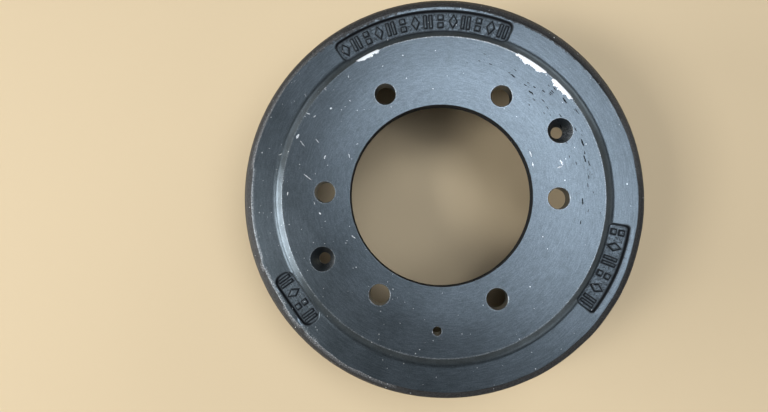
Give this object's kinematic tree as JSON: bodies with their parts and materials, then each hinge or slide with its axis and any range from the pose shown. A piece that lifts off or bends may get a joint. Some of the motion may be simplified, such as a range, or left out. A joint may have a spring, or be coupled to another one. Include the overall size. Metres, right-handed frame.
{
  "type": "brake drum",
  "caption": "Cast-iron truck brake drum with a raised wheel face, stud holes, countersunk retaining screw holes, a centre bore and a turned friction surface.",
  "frame": {"origin": "on the drum's axis, in the machined seat that rests against the hub, at the centre of the stud circle", "axes": "+Z along the drum's axis, out of the wheel face, with the open end towards -Z; +X through the centre of one stud hole"},
  "size_m": [0.376, 0.3758, 0.1395],
  "materials": {
    "painted_iron": "thin semi-gloss dark slate paint over turned and cast grey iron, chipped at the edges"
  },
  "bodies": {
    "root": {"brake_drum": "painted_iron"}
  },
  "joints": []
}
